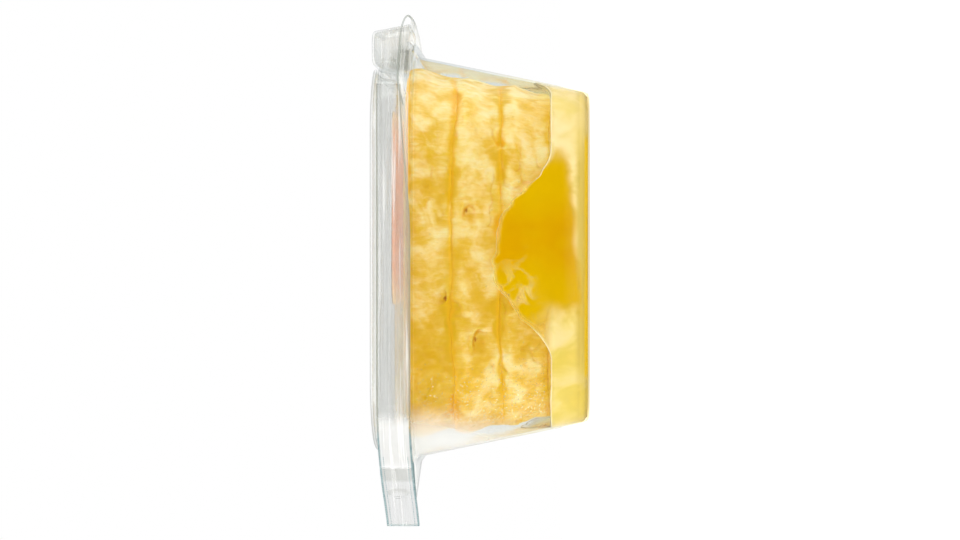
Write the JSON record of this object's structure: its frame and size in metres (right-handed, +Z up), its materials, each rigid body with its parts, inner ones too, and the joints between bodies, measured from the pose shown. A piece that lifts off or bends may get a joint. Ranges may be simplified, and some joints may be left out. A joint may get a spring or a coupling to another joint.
{
  "type": "tub of pineapple rings",
  "caption": "Shut clear thermoformed tub, rounded square and drafted, with a clip-on lid, tear strip and pull tab, filled with a stack of cored pineapple rings.",
  "frame": {"origin": "centre of the bounding box in plan, on the surface the tub stands on; the tub's own axis is at X +3.7 mm, Y +0.45 mm, because the pull tab and the lift tab stand out on different sides", "axes": "+Z up, towards the lid; -Y is the side with the tear strip; the pull tab stands out towards -X and the lift tab towards +X"},
  "size_m": [0.143, 0.1182, 0.0591],
  "materials": {
    "clear_plastic": "clear thermoformed sheet, glossy",
    "tear_plastic": "clear thermoformed sheet with grey-green cut edges",
    "label": "coated paper, plain fields of colour",
    "pineapple": "wet, fibrous cut flesh"
  },
  "bodies": {
    "root": {"tub": "clear_plastic", "lid": "clear_plastic", "tear_strip": "tear_plastic", "lid_label": "label", "pineapple_ring_1": "pineapple", "pineapple_ring_2": "pineapple", "pineapple_ring_3": "pineapple", "pineapple_ring_4": "pineapple"}
  },
  "joints": []
}
